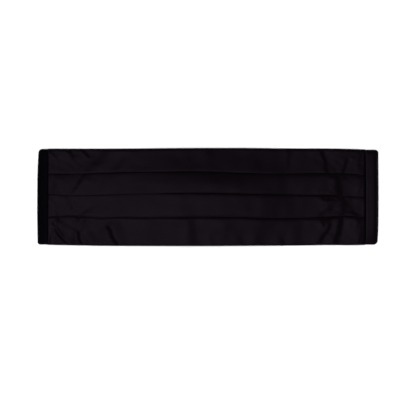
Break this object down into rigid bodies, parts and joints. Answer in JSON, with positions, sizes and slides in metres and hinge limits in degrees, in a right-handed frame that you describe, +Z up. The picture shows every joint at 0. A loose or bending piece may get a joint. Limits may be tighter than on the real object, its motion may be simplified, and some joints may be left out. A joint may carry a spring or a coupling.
{
  "type": "cummerbund",
  "caption": "Pleated satin waist sash with bound ends, lying face up with its straps folded behind it and clasped.",
  "frame": {"origin": "centre of the bounding box in X and Y, at the surface the cummerbund lies on", "axes": "+X along the front panel to the viewer's right, +Y towards the panel's top edge, +Z up, out of the satin face"},
  "size_m": [0.4432, 0.1271, 0.0105],
  "materials": {
    "panel_satin": "glossy black satin",
    "left_band_satin": "black satin",
    "right_band_satin": "black satin",
    "left_webbing": "black woven webbing",
    "right_webbing": "black woven webbing",
    "clasp_metal": "plain black metal plate"
  },
  "bodies": {
    "root": {"pleated_panel": "panel_satin", "end_band_left": "left_band_satin", "end_band_right": "right_band_satin", "strap_left": "left_webbing", "strap_right": "right_webbing", "clasp": "clasp_metal"}
  },
  "joints": []
}
